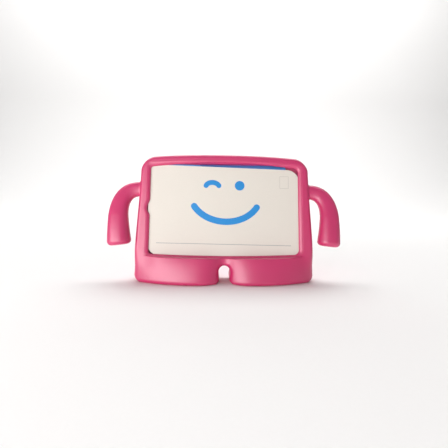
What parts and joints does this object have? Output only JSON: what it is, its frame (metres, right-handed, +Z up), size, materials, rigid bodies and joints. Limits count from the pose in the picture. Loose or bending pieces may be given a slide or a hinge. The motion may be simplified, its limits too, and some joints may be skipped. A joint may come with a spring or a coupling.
{
  "type": "silicone tablet case",
  "caption": "Child's tablet case moulded in one soft piece: padded frame with a lipped window, round arms as handles, broad feet to stand on, and a folded display card in the pocket.",
  "frame": {"origin": "middle of the bounding box, on the floor the feet stand on", "axes": "+X to the viewer's right across the screen, +Y to the back, +Z up; the screen faces -Y and leans back 8 degrees"},
  "size_m": [0.3626, 0.069, 0.2006],
  "materials": {
    "soft_moulding": "soft satin moulding, pink",
    "printed_card": "smooth white paperboard printed in blue"
  },
  "bodies": {
    "root": {"moulded_case": "soft_moulding", "display_card": "printed_card"}
  },
  "joints": []
}
